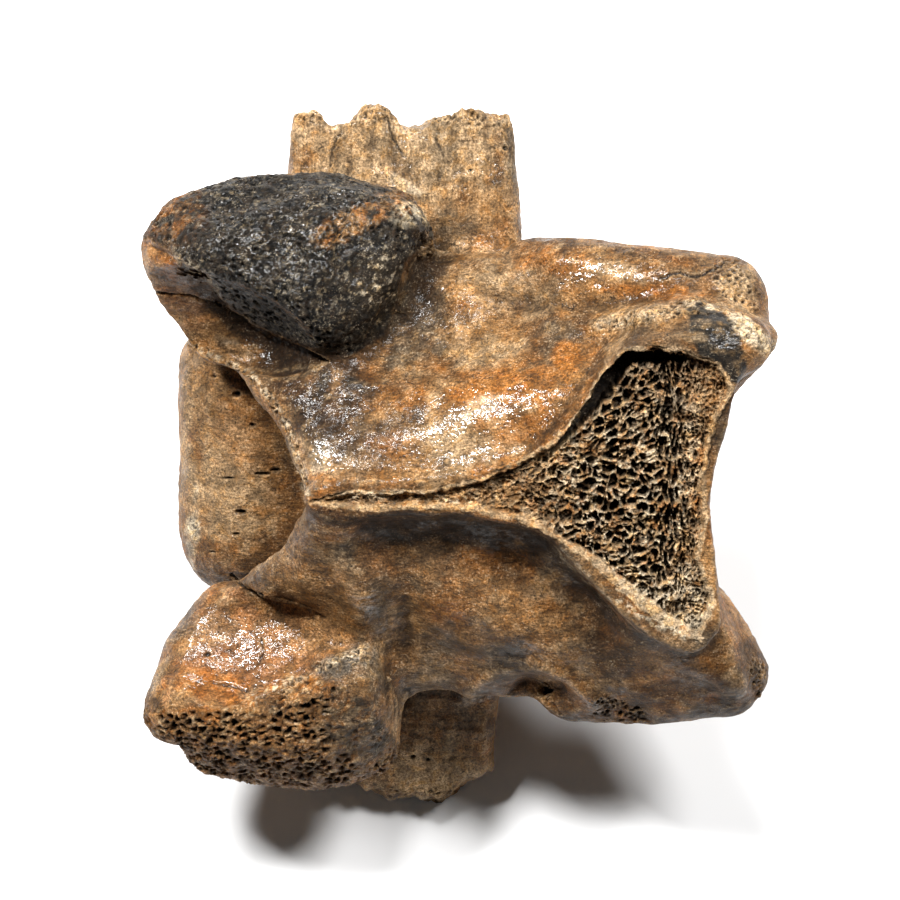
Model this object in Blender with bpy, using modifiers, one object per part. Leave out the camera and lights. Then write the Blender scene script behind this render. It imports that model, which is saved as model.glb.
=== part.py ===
"""A fossil bison neck vertebra, life size, lying rolled onto its left side.

The bone is modelled in its own anatomical frame in millimetres: +X runs
towards the tail, +Y to the animal's right and +Z towards its back, with z = 0
on the floor of the vertebral canal. The finished bone is then rolled into the
pose in which it lies and set on the floor.
"""

import math

import bmesh
import bpy
import numpy as np
from mathutils import Matrix, Vector, noise

MM = 0.001

# How the bone lies: its back leans towards -Y by this much.
ROLL_DEG = 22.0
# Depth that the resting points are ground flat, in mm.
FOOT_FLAT = 0.9

# Sizes of the bone, in mm.
FLOOR_TO_KEEL = 46.0
RIGHT_SPAN = 69.5
LEFT_SPAN = 72.3

# Outline of the spinous process's broken face, seen from above: x and y.
BREAK_OUTLINE = [
    (-30, 0.5), (-22, 3), (-6, 3.7), (4, 6.4), (11, 9.8), (18, 14.3), (23, 20.4), (26, 26.4),
    (31, 32.2), (37, 33), (43, 32), (49, 29.5), (52, 25), (48, 17), (46.4, 7.6), (47, -2),
    (45.6, -8.2), (48.7, -16.5), (46, -24.7), (38, -20.7), (30.6, -14.8), (24.8, -9),
    (19, -5.4), (11, -1.7), (2, 0), (-8, -0.2), (-21, -0.7),
]
# Height of that face over the canal's floor, along x.
BREAK_HEIGHTS = [(-40, 34), (-25, 34.5), (0, 38), (20, 41.5), (40, 43.5), (60, 43)]

# Dents and swellings in the smoothed masses: a point, a radius and a shift.
SHARED_BRUSHES = [
    ((-6, 30, 23), 9, (0, 0, -2.5)),
    ((-4, 50, 10), 8, (0, -2, -2)),
    ((-27, 50, 18), 10, (0, 0, 1.5)),
    ((-38, 12, 26), 6, (2, 0, -1)),
]
RIGHT_BRUSHES = [
    ((20, 40, 26), 9, (0, 0, -2)),
]
LEFT_BRUSHES = [
    ((-4, -10, 31), 8, (0, 1.5, -4)),
    ((-18, -8, 29), 6, (0, 1, -3)),
    ((10, -13, 31), 8, (0, 1.5, -4.5)),
    ((24, -20, 33), 7, (0, 1.5, -2.5)),
    ((6, -29, 25), 8, (0, 0, 1.5)),
    ((15, -44, 14), 5, (0, 3, 0)),
    ((26, -35, 32), 8, (0, 0, -1.5)),
]

# Width of the rim round the broken face, and how far the face lies below it.
RIM_WIDTH = 1.2
RIM_HEIGHT = 1.8
# The deepest part of the face, at its right side: a centre, a radius and a depth.
DEEP_PART = ((24, 21), 15, 3.5)

# Bare spongy patches of the front articular processes: a middle, its reach and the dents' depth.
BARE_PATCHES = [((-32, 48, 21), (27, 16, 12)), ((-36, -56, 15), (24, 11, 10))]
PIT_DEPTH = 1.1

# Meshing, in mm.
VOXEL = 1.0
SMOOTHINGS = 26
BREAK_GRID = 1.5
TRIANGLES = 11400


def clear_scene():
    for obj in list(bpy.data.objects):
        bpy.data.objects.remove(obj, do_unlink=True)


def collection_named(name):
    made = bpy.data.collections.new(name)
    bpy.context.scene.collection.children.link(made)
    return made


def add_hull(target, balls):
    """Adds the convex hull of some balls, each (x, y, z, radius) in mm, to a bmesh."""
    part = bmesh.new()
    for x, y, z, radius in balls:
        bmesh.ops.create_icosphere(
            part, subdivisions=2, radius=radius, matrix=Matrix.Translation((x, y, z))
        )
    bmesh.ops.delete(part, geom=part.edges[:], context="EDGES_FACES")
    bmesh.ops.convex_hull(part, input=part.verts[:])
    bmesh.ops.delete(part, geom=[v for v in part.verts if not v.link_faces], context="VERTS")
    bmesh.ops.recalc_face_normals(part, faces=part.faces[:])
    scratch = bpy.data.meshes.new("scratch")
    part.to_mesh(scratch)
    part.free()
    target.from_mesh(scratch)
    bpy.data.meshes.remove(scratch)


def both_sides(balls):
    return side_of(balls, 1) + side_of(balls, -1)


def side_of(balls, side):
    """Balls given for the right side, on the right, side 1, or on the left, side -1."""
    return [(x, side * y, z, radius) for x, y, z, radius in balls]


def centrum(form):
    head = both_sides([(-43, 16, -15, 15), (-42, 11, -29, 12)]) + [(-43, 0, -20, 15)]
    waist = both_sides([(-6, 10, -12, 10)]) + [(-6, 0, -26, 10)]
    end = both_sides([(32, 17, -14, 14), (32, 13, -30, 13)])
    add_hull(form, head + waist)
    add_hull(form, waist + end)
    keel = -FLOOR_TO_KEEL
    add_hull(form, [(-38, 0, keel + 4, 6), (0, 0, keel + 8, 3), (0, 0, -24, 6), (-40, 0, -24, 6)])
    add_hull(form, [(36, 0, keel + 5.4, 5), (0, 0, keel + 8, 3), (0, 0, -24, 6), (36, 0, -24, 6)])


def pedicle(form, side):
    add_hull(
        form,
        side_of([(-26, 22, 0, 7), (20, 21, 0, 7), (-24, 24, 10, 7), (22, 25, 16, 6)], side),
    )


def lamina(form, side):
    add_hull(
        form,
        side_of(
            [
                (-41, 25.5, 9, 5),
                (-31, 15, 20, 5),
                (-25, 3, 28, 5),
                (-6, 25, 17, 7),
                (24, 28, 20, 7),
                (0, 0, 30, 4),
                (36, 0, 32, 6),
                (42, 18, 28, 5),
            ],
            side,
        ),
    )


def spine_stump(form):
    """The spinous process below and just above its break."""
    add_hull(form, [(-27, 1, 27, 3.5), (-28, 1.2, 48, 1.6), (6, 2.6, 48, 2), (6, 3, 26, 6)])
    add_hull(form, [(2, 2.4, 52, 2.4), (22, 4, 52, 8), (22, 4, 30, 10), (2, 3, 30, 5)])
    add_hull(
        form,
        [
            (19, 10, 50, 4),
            (20, 0, 50, 4),
            (34, 30, 50, 3.5),
            (42, 31, 50, 3.5),
            (49, 26, 50, 3.5),
            (44, 10, 50, 3.5),
            (43, 0, 50, 3),
            (18, 4, 26, 9),
            (34, 27, 26, 7),
            (46, 28, 24, 7),
            (42, 0, 26, 5),
        ],
    )
    add_hull(
        form,
        [
            (20, 2, 50, 4),
            (44, 6, 50, 3),
            (43.5, -6, 50, 3),
            (46, -18, 50, 3.5),
            (44, -23, 48, 3.5),
            (38, -19, 50, 3),
            (18, 0, 26, 7),
            (42, 4, 26, 5),
            (44, -24, 22, 7),
            (30, -16, 26, 7),
        ],
    )


def right_knob(form):
    """The stub of the ridge that ran from the spine to the right rear articular process."""
    add_hull(form, [(47, 33, 38, 5), (54, 32, 37, 6), (50, 31, 24, 7), (36, 36, 36, 3), (38, 34, 24, 6)])


def spine_fillet(form):
    """The long slope from the spine's right side down to the lamina."""
    add_hull(
        form,
        [(-22, 6, 27, 5), (6, 10, 32, 5), (24, 22, 32, 6), (-16, 18, 20, 6), (12, 26, 20, 7)],
    )


def front_articular_process(form, side):
    tip = -56 if side == 1 else -56.8
    add_hull(
        form,
        side_of(
            [
                (tip, 46.5, 13, 7),
                (-54, 36, 9, 6),
                (-48, 26.5, 6, 5),
                (-32, 25, 8, 6),
                (-48, 43, 19, 6.5),
                (-30, 38, 22, 6),
                (-40, 42, -2, 6),
                (-22, 42, -4, 6),
            ],
            side,
        ),
    )
    if side == 1:
        edge = [(-53, 50, 11, 7.5), (-42, 52.5, 9, 8), (-28, 53, 7, 8), (-14, 50.5, 7, 8)]
        crest = [(-47, 46, 19, 7.5), (-33, 36, 20.5, 8), (-22, 35, 18, 7), (-28, 50.5, 12, 9)]
        heel = [(-13, 49, 12, 8.5), (-16, 40, 4, 8)]
    else:
        edge = [(-48, 54, 9, 8), (-29, 57, 7, 8), (-19, 54.5, 8, 7.5)]
        crest = [(-47, 46, 17, 7.5), (-33, 43, 18, 8), (-19, 39, 18, 7), (-28, 52, 12, 9)]
        heel = [(-19, 47, 11, 7), (-18, 40, 4, 8)]
    add_hull(form, side_of(edge + [(-48, 26.5, 6, 5), (-40, 42, -2, 6), (-22, 42, -4, 6)], side))
    add_hull(form, side_of(edge[:1] + crest[:2] + [(-54, 36, 9, 6), (-40, 42, -2, 6)], side))
    add_hull(form, side_of(crest + heel + edge[-2:], side))


def side_bridge(form, side):
    add_hull(
        form,
        side_of(
            [(-14, 38, 4, 9), (6, 35, 0, 7), (26, 37, 14, 6), (-14, 26, 12, 8), (20, 24, 18, 7)],
            side,
        ),
    )


def rear_articular_process(form, side):
    add_hull(
        form,
        side_of(
            [
                (20, 43, 14, 6),
                (38, 42.5, 18, 6),
                (53, 40, 20, 6.5),
                (48, 24, 13, 5),
                (28, 22, 12, 5),
                (20, 28, 24, 6),
                (44, 26, 28, 6),
            ],
            side,
        ),
    )
    if side == 1:
        inner = [(54.5, 36, 21, 6.5), (54, 28, 20, 6)]
        ridge = [(34, 24, 32, 4), (58, 32, 29, 4), (46, 20, 24, 6), (50, 30, 20, 5)]
        lip = [(12.5, 43.5, 8, 5), (26, 43, 14, 6), (12, 30, 12, 6)]
    else:
        inner = [(56, 37, 20.5, 6), (50, 28, 20, 6)]
        ridge = [(34, 24, 32, 4), (53.5, 35, 28, 4), (44, 20, 25, 6), (48, 31, 20, 5)]
        lip = [(11, 41.5, 12, 4.5), (26, 42, 15, 6), (12, 30, 14, 6)]
    add_hull(form, side_of(lip, side))
    root = [(53, 40, 20, 6.5), (38, 42.5, 18, 6), (48, 24, 13, 5), (34, 26, 20, 7)]
    add_hull(form, side_of(inner + root, side))
    add_hull(form, side_of(ridge, side))


def transverse_process(form, side):
    rear, root, tip = (5.5, 8, -13.5) if side == 1 else (2, 4, -14.8)
    add_hull(
        form,
        side_of(
            [
                (-28.5, 78, tip, 4),
                (rear, 78, tip, 4),
                (-31, 50, -9, 4.5),
                (root, 46, -8, 5),
                (-26, 22, -8, 8),
                (root - 4, 24, -8, 8),
            ],
            side,
        ),
    )
    add_hull(form, side_of([(-24, 33, -8, 8.5), (root - 3, 33, -8, 8.5), (-10, 20, -10, 8)], side))


def bone_form():
    form = bmesh.new()
    centrum(form)
    spine_stump(form)
    spine_fillet(form)
    right_knob(form)
    for side in (1, -1):
        pedicle(form, side)
        lamina(form, side)
        front_articular_process(form, side)
        side_bridge(form, side)
        rear_articular_process(form, side)
        transverse_process(form, side)
    return form


def hollows():
    """What is scooped out of the masses before they are smoothed."""
    hollow = bmesh.new()
    for side in (1, -1):
        # the saddle between the articular processes
        add_hull(hollow, side_of([(4, 66, 18, 11), (4, 48, 24, 11), (2, 34, 34, 9)], side))
        # the sides of the centrum
        add_hull(hollow, side_of([(-14, 34, -34, 12), (14, 34, -34, 12), (0, 30, -46, 14)], side))
        # the notch behind the pedicle, under the rear articular process
        add_hull(hollow, side_of([(40, 50, -2, 10), (34, 24, 0, 6), (60, 30, -4, 8)], side))
        # the notch before the pedicle, under the front articular process
        add_hull(hollow, side_of([(-44, 36, -6, 5), (-60, 38, -8, 8)], side))
    return hollow


def canal():
    tube = bmesh.new()
    add_hull(tube, both_sides([(-70, 7.5, 12, 11.5), (-20, 5.5, 11, 10.5)]))
    add_hull(tube, both_sides([(-20, 5.5, 11, 10.5), (20, 5.5, 11, 10.5)]))
    add_hull(tube, both_sides([(20, 5.5, 11, 10.5), (75, 9, 12, 12)]))
    return tube


def transverse_foramina():
    holes = bmesh.new()
    for side in (1, -1):
        add_hull(holes, side_of([(-44, 33, -9, 5), (-4, 33, -8, 4.2)], side))
        add_hull(holes, side_of([(-4, 33, -8, 4.2), (28, 34, -6, 5)], side))
    return holes


def rear_socket():
    socket = bmesh.new()
    add_hull(socket, [(72, 0, -20, 34)])
    return socket


def facets():
    """Shallow scoops that leave the joint faces of the front articular processes."""
    scoop = bmesh.new()
    for side in (1, -1):
        if side == 1:
            centre = Vector((-46, 36, 16))
            out = Vector((-0.35, -0.65, 0.65)).normalized()
        else:
            centre = Vector((-45, -35, 17.5))
            out = Vector((-0.05, 0.61, 0.79)).normalized()
        along = Vector((1, 0, 0))
        along = (along - out * along.dot(out)).normalized()
        across = out.cross(along)
        turn = Matrix((along, across, out)).transposed().to_4x4()
        size = Matrix.Diagonal((22, 14, 5, 1))
        place = Matrix.Translation(centre + out * 4)
        bmesh.ops.create_icosphere(scoop, subdivisions=5, radius=1, matrix=place @ turn @ size)
    return scoop


def between(table, x):
    """Value at x in a table of (x, value), straight between its rows."""
    for (x0, v0), (x1, v1) in zip(table, table[1:]):
        if x <= x1:
            return v0 + (v1 - v0) * max(0.0, x - x0) / (x1 - x0)
    return table[-1][1]


def inside_by(outline, x, y):
    """How far a point lies inside a closed outline; negative outside it."""
    inside = False
    nearest = math.inf
    for (x0, y0), (x1, y1) in zip(outline, outline[1:] + outline[:1]):
        if (y0 > y) != (y1 > y) and x < x0 + (x1 - x0) * (y - y0) / (y1 - y0):
            inside = not inside
        along = ((x - x0) * (x1 - x0) + (y - y0) * (y1 - y0)) / ((x1 - x0) ** 2 + (y1 - y0) ** 2)
        along = min(1.0, max(0.0, along))
        nearest = min(nearest, math.hypot(x - x0 - along * (x1 - x0), y - y0 - along * (y1 - y0)))
    return nearest if inside else -nearest


def rough(point, size, depth):
    """Ragged noise: depth mm high at a grain of size mm."""
    return depth * noise.fractal(Vector(point) / size, 0.7, 2.0, 3)


def break_height(x, y):
    """Height of the spine's broken face: a rim round a pitted hollow that is deepest at its right side."""
    past_rim = inside_by(BREAK_OUTLINE, x, y) - RIM_WIDTH
    rim = between(BREAK_HEIGHTS, x) + rough((x, y, 0), 9, 0.8)
    if past_rim < 0:
        return rim
    (deep_x, deep_y), deep_radius, deeper = DEEP_PART
    nearness = max(0.0, 1 - math.hypot(x - deep_x, y - deep_y) / deep_radius)
    drop = RIM_HEIGHT + deeper * nearness + rough((x, y, 5), 4, 1.5)
    return rim - drop * min(1.0, past_rim / BREAK_GRID)


def steps(low, high, step):
    count = round((high - low) / step)
    return [low + (high - low) * i / count for i in range(count + 1)]


def sheet_cutter(columns, rows, place, beyond):
    """A closed block whose near face is the sheet place(u, v) and whose far face lies beyond it."""
    block = bmesh.new()
    near = [[block.verts.new(place(u, v)) for v in rows] for u in columns]
    for strip, next_strip in zip(near, near[1:]):
        for a, b, c, d in zip(strip, next_strip, next_strip[1:], strip[1:]):
            block.faces.new((a, b, c, d))
    back = bmesh.ops.extrude_face_region(block, geom=block.faces[:])
    moved = [item for item in back["geom"] if isinstance(item, bmesh.types.BMVert)]
    bmesh.ops.translate(block, vec=beyond, verts=moved)
    bmesh.ops.recalc_face_normals(block, faces=block.faces[:])
    return block


def spine_break():
    def place(x, y):
        return (x, y, break_height(x, y))

    columns = steps(-40, 62, BREAK_GRID)
    rows = steps(-36, 44, BREAK_GRID)
    return sheet_cutter(columns, rows, place, Vector((0, 0, 40)))


def transverse_break(side):
    """The ragged end of a transverse process. The left one slants in towards the tail."""

    def place(x, z):
        end = RIGHT_SPAN
        if side == -1:
            end = LEFT_SPAN - 0.7 * max(0.0, x + 2) - 0.45 * max(0.0, -17 - x)
        end += rough((x, side * 9, 0.5 * z), 7, 3.0)
        return (x, side * end, z)

    columns = steps(-50, 30, BREAK_GRID)
    rows = steps(-34, 6, 2 * BREAK_GRID)
    return sheet_cutter(columns, rows, place, Vector((0, side * 30, 0)))


def brush(mesh, brushes):
    """Shifts a mesh's points, each brush fading out smoothly with distance. All in mm."""
    count = len(mesh.vertices)
    points = np.empty(count * 3)
    mesh.vertices.foreach_get("co", points)
    points = points.reshape(count, 3) / MM
    for centre, radius, shift in brushes:
        distance = np.linalg.norm(points - np.array(centre), axis=1)
        points += np.exp(-((distance / radius) ** 2))[:, None] * np.array(shift)
    mesh.vertices.foreach_set("co", (points * MM).reshape(-1))
    mesh.update()


def pit(mesh):
    """Coarse dents in the bare patches of the front articular processes."""
    count = len(mesh.vertices)
    points = np.empty(count * 3)
    mesh.vertices.foreach_get("co", points)
    points = points.reshape(count, 3) / MM
    for centre, radii in BARE_PATCHES:
        reach = np.linalg.norm((points - np.array(centre)) / np.array(radii), axis=1)
        for index in np.flatnonzero(reach < 1):
            dent = rough(points[index], 5, PIT_DEPTH) - 0.3 * PIT_DEPTH
            points[index, 2] += dent * min(1.0, 3 * (1 - reach[index]))
    mesh.vertices.foreach_set("co", (points * MM).reshape(-1))
    mesh.update()


def mirrored(brushes):
    return [((x, -y, z), radius, (a, -b, c)) for (x, y, z), radius, (a, b, c) in brushes]


def apply_modifiers(obj):
    """Makes the object's modifiers part of its mesh."""
    bpy.context.view_layer.update()
    graph = bpy.context.evaluated_depsgraph_get()
    mesh = bpy.data.meshes.new_from_object(obj.evaluated_get(graph))
    obj.modifiers.clear()
    obj.data = mesh


def object_from(bm, name, collection):
    """An object in metres from a bmesh in mm."""
    bmesh.ops.scale(bm, vec=(MM, MM, MM), verts=bm.verts[:])
    mesh = bpy.data.meshes.new(name)
    bm.to_mesh(mesh)
    bm.free()
    obj = bpy.data.objects.new(name, mesh)
    collection.objects.link(obj)
    return obj


def remesh(obj):
    fuse = obj.modifiers.new("fuse", "REMESH")
    fuse.mode = "VOXEL"
    fuse.voxel_size = VOXEL * MM


def cut(obj, cutter):
    modifier = obj.modifiers.new("cut " + cutter.name, "BOOLEAN")
    modifier.operation = "DIFFERENCE"
    modifier.solver = "MANIFOLD"
    modifier.object = cutter


def fused(bm, name, cutters):
    """A cutter made of overlapping hulls, fused into one closed surface."""
    obj = object_from(bm, name, cutters)
    remesh(obj)
    return obj


def box_of(mesh):
    count = len(mesh.vertices)
    points = np.empty(count * 3)
    mesh.vertices.foreach_get("co", points)
    points = points.reshape(count, 3)
    return points.min(axis=0), points.max(axis=0)


def surface_from(face):
    """All faces joined to this one."""
    found = {face}
    waiting = [face]
    while waiting:
        for edge in waiting.pop().edges:
            for other in edge.link_faces:
                if other not in found:
                    found.add(other)
                    waiting.append(other)
    return found


def keep_closed_surface(mesh):
    """Drops faces that hang by one edge, which the thinning can leave, and all but the largest surface."""
    form = bmesh.new()
    form.from_mesh(mesh)
    flaps = [face for face in form.faces if any(edge.is_boundary for edge in face.edges)]
    bmesh.ops.delete(form, geom=flaps, context="FACES")
    left = set(form.faces)
    largest = set()
    while left:
        surface = surface_from(left.pop())
        left -= surface
        if len(surface) > len(largest):
            largest = surface
    scraps = [face for face in form.faces if face not in largest]
    bmesh.ops.delete(form, geom=scraps, context="FACES")
    form.to_mesh(mesh)
    form.free()


def thin_out(obj):
    """Thins the object's mesh to about TRIANGLES."""
    count = sum(len(face.vertices) - 2 for face in obj.data.polygons)
    thin = obj.modifiers.new("thin", "DECIMATE")
    thin.ratio = TRIANGLES / count
    thin.use_collapse_triangulate = True
    apply_modifiers(obj)
    keep_closed_surface(obj.data)


def settle(obj):
    """Rolls the bone into its pose, centres it and sinks it by FOOT_FLAT into the floor at z = 0."""
    mesh = obj.data
    mesh.transform(Matrix.Rotation(math.radians(ROLL_DEG), 4, "X"))
    low, high = box_of(mesh)
    middle = (low + high) / 2
    mesh.transform(Matrix.Translation((-middle[0], -middle[1], -low[2] - FOOT_FLAT * MM)))
    mesh.update()


def floor_block():
    block = bmesh.new()
    bmesh.ops.create_cube(block, size=400, matrix=Matrix.Translation((0, 0, -200)))
    return block


def bone_material():
    material = bpy.data.materials.new("fossil_bone")
    material.use_nodes = True
    shader = material.node_tree.nodes["Principled BSDF"]
    shader.inputs["Base Color"].default_value = (0.23, 0.14, 0.07, 1)
    shader.inputs["Roughness"].default_value = 0.55
    return material


def main():
    clear_scene()
    bone = collection_named("vertebra")
    cutters = collection_named("cutters")
    vertebra = object_from(bone_form(), "vertebra", bone)
    remesh(vertebra)
    cut(vertebra, fused(hollows(), "hollows", cutters))
    remesh(vertebra)
    smooth = vertebra.modifiers.new("soften", "SMOOTH")
    smooth.factor = 0.5
    smooth.iterations = SMOOTHINGS
    apply_modifiers(vertebra)
    brush(vertebra.data, SHARED_BRUSHES + mirrored(SHARED_BRUSHES))
    brush(vertebra.data, RIGHT_BRUSHES + LEFT_BRUSHES)
    pit(vertebra.data)
    cut(vertebra, object_from(facets(), "facets", cutters))
    cut(vertebra, fused(canal(), "canal", cutters))
    cut(vertebra, fused(transverse_foramina(), "transverse_foramina", cutters))
    cut(vertebra, object_from(rear_socket(), "rear_socket", cutters))
    cut(vertebra, object_from(spine_break(), "spine_break", cutters))
    cut(vertebra, object_from(transverse_break(1), "right_break", cutters))
    cut(vertebra, object_from(transverse_break(-1), "left_break", cutters))
    apply_modifiers(vertebra)
    thin_out(vertebra)
    settle(vertebra)
    cut(vertebra, object_from(floor_block(), "floor", cutters))
    apply_modifiers(vertebra)
    for cutter in list(cutters.objects):
        bpy.data.objects.remove(cutter, do_unlink=True)
    bpy.data.collections.remove(cutters)
    vertebra.data.materials.clear()
    vertebra.data.materials.append(bone_material())


main()
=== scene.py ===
"""The looks of a fossil bison neck vertebra that lies on a plain pale floor.

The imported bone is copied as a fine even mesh. Its breaks, pits, ridges and
stains are then worked into that mesh in the bone's own frame, in millimetres:
+X runs towards the tail, +Y to the animal's right and +Z towards its back,
with z = 0 on the floor of the vertebral canal.
"""

import math

import bmesh
import bpy
import numpy as np
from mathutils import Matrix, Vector, noise


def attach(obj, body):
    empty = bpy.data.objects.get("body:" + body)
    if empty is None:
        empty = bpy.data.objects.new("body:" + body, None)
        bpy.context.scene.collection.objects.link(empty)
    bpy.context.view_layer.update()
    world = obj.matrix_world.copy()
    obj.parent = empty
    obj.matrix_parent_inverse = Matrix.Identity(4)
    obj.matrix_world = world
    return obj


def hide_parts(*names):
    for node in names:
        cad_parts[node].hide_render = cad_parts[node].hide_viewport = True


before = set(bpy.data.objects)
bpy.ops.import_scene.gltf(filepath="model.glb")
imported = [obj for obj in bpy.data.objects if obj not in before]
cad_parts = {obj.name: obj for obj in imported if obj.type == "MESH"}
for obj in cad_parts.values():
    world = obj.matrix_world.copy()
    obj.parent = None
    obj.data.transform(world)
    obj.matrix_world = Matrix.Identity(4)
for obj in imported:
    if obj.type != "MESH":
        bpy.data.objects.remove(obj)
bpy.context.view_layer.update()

MM = 0.001

# How the bone lies: its roll, and where its own origin is, in mm.
ROLL = math.radians(22)
ORIGIN = np.array((0.962, -4.090, 44.015))

# The camera, 80 degrees up over the bone's left side, and its frame in pixels.
CAMERA_ELEVATION = math.radians(80)
CAMERA_DISTANCE = 0.9
CAMERA_LENS = 180
CAMERA_SENSOR = 36
CAMERA_ASIDE = -2.0
CAMERA_UP = 3.6
FRAME_PIXELS = 900
PIXELS_PER_MM = 5

# Meshing: mm, and cuts of each edge where the surface is rough.
VOXEL = 0.6
SMOOTHINGS = 14
SPONGY_CUTS = 2
PITTED_CUTS = 1
SMOOTH_ROUNDS = 70

# Outline of the spinous process's broken face, seen from above: x and y.
BREAK_OUTLINE = [
    (-30, 0.5), (-22, 3), (-6, 3.7), (4, 6.4), (11, 9.8), (18, 14.3), (23, 20.4), (26, 26.4),
    (31, 32.2), (37, 33), (43, 32), (49, 29.5), (52, 25), (48, 17), (46.4, 7.6), (47, -2), (45.6, -8.2),
    (48.7, -16.5), (46, -24.7), (38, -20.7), (30.6, -14.8), (24.8, -9), (19, -5.4), (11, -1.7), (2, 0),
    (-8, -0.2), (-21, -0.7),
]
# Height of that face's rim over the canal's floor, along x.
BREAK_HEIGHTS = [(-40, 34), (-25, 34.5), (0, 38), (20, 41.5), (40, 43.5), (60, 43)]
# The gap between the face and its right rim: x, y and half its width.
GAP = [
    (17, 11.0, 0.2), (21, 16, 0.8), (25, 21.5, 1.7), (28.4, 26.5, 2.0), (32, 30.3, 1.4),
    (42, 30.2, 0.7),
]
GAP_DEPTH = 6.5
# The left rim, which is a pale edge of denser bone: x, y and half its width.
PALE_RIM = [(18, -4.6, 0.4), (26, -9.2, 0.7), (33, -15.5, 0.9), (40, -20.6, 0.8), (46, -24.2, 0.5)]

# Areas of the surface, as outlines in pixels of the camera's frame.
RIGHT_TOP = [
    (136, 236), (134, 205), (160, 180), (250, 162), (400, 168), (446, 206), (440, 232), (405, 262),
    (396, 300), (384, 338), (345, 358), (300, 345), (255, 325), (235, 311), (222, 298), (214, 284),
    (204, 271), (188, 266), (176, 253), (164, 247), (150, 240),
]
LEFT_BAND = [
    (130, 706), (160, 709), (213, 713), (240, 703), (273, 687), (307, 673), (330, 680), (372, 700),
    (402, 745), (408, 768), (400, 805), (280, 815), (190, 798), (140, 760),
]
FRONT_FACET = [
    (128, 232), (150, 240), (164, 247), (176, 253), (188, 266), (204, 271), (214, 284), (222, 298),
    (235, 311), (255, 325), (300, 345), (330, 362), (270, 372), (185, 350), (140, 290),
]
KNOB_PATCH = [
    (686, 308), (700, 303), (722, 312), (740, 336), (749, 362), (740, 384), (722, 380), (704, 362),
    (692, 338),
]

# Ends of the broken transverse processes, in the same pixels.
RIGHT_END = [
    (285, 116), (300, 113), (313, 110), (328, 120), (343, 126), (353, 119), (365, 103), (378, 101),
    (388, 107), (395, 119), (405, 128), (418, 125), (440, 117), (452, 119), (462, 108), (476, 112),
    (500, 116), (530, 114),
]
LEFT_END = [
    (330, 784), (370, 790), (385, 797), (400, 796), (415, 798), (428, 801), (438, 804), (447, 799),
    (456, 794), (464, 786), (473, 779), (500, 772),
]

# Open cracks: points in the same pixels and half the width in mm.
CRACKS = [
    ([(662, 279), (680, 272), (697, 277), (712, 270), (724, 262)], 0.2),
    ([(261, 638), (262, 650), (259, 664)], 0.08), ([(341, 130), (332, 150), (330, 168)], 0.04),
    ([(388, 118), (393, 138), (403, 156)], 0.1), ([(436, 138), (444, 158)], 0.05),
    ([(232, 575), (246, 590), (262, 596)], 0.16), ([(150, 292), (190, 296), (222, 306)], 0.06),
    ([(214, 683), (232, 686), (246, 691)], 0.12),
]
# Small holes: the middle and the half widths in the same pixels, and the depth in mm, below
# zero for a raised grain.
HOLES = [
    ((546, 690), (7, 3.5), 2.4), ((213, 376), (3, 2), 0.8), ((236, 394), (4, 3.2), 1.2),
    ((252, 425), (3.4, 2), 0.8), ((275, 470), (5, 2.2), 1.0), ((228, 478), (7, 1.4), 0.6),
    ((240, 512), (6, 2.0), 1.2), ((236, 534), (4, 1.6), 0.9), ((212, 552), (4, 1.4), 0.6),
    ((262, 474), (8, 1.5), 0.8), ((413, 757), (3, 2.4), 0.7), ((428, 760), (2.4, 2), 0.6),
    ((505, 148), (3, 2.4), 0.7), ((470, 170), (2.4, 2), 0.6), ((447, 462), (3.4, 3.0), -0.5),
    ((208, 654), (3, 2), 0.5),
]
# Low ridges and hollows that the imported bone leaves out: points in the same pixels, the half
# width in pixels and the height in mm, below zero for a hollow.
FORMS = [
    ([(345, 528), (358, 590), (364, 645)], 17, 1.3), ([(398, 545), (404, 610), (396, 690)], 20, -1.8),
    ([(470, 585), (520, 612)], 44, 1.2), ([(526, 692), (556, 696)], 17, -3.0),
    ([(468, 692), (500, 666), (545, 666), (596, 700)], 9, 1.4),
    ([(596, 326), (640, 314), (694, 304)], 9, 1.3), ([(500, 300), (590, 304), (660, 294)], 13, -1.4),
    ([(432, 250), (418, 300), (380, 352)], 22, -2.2), ([(470, 236), (500, 280)], 17, 0.6),
    ([(450, 350), (520, 352)], 36, -1.0), ([(230, 650)], 48, -0.8),
    ([(604, 712), (640, 716)], 13, -0.9), ([(742, 652), (764, 700)], 9, -0.8),
    ([(722, 626), (738, 690)], 12, 0.7), ([(200, 300), (262, 346)], 22, -0.8),
    ([(318, 664), (362, 655)], 9, 0.8), ([(705, 330)], 20, 0.9), ([(560, 262), (690, 284)], 13, 0.5),
]
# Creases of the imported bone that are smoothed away: points and the half width in the same pixels.
BLENDS = [([(288, 600), (320, 615), (350, 632)], 17), ([(330, 352), (350, 356)], 9)]
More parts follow.
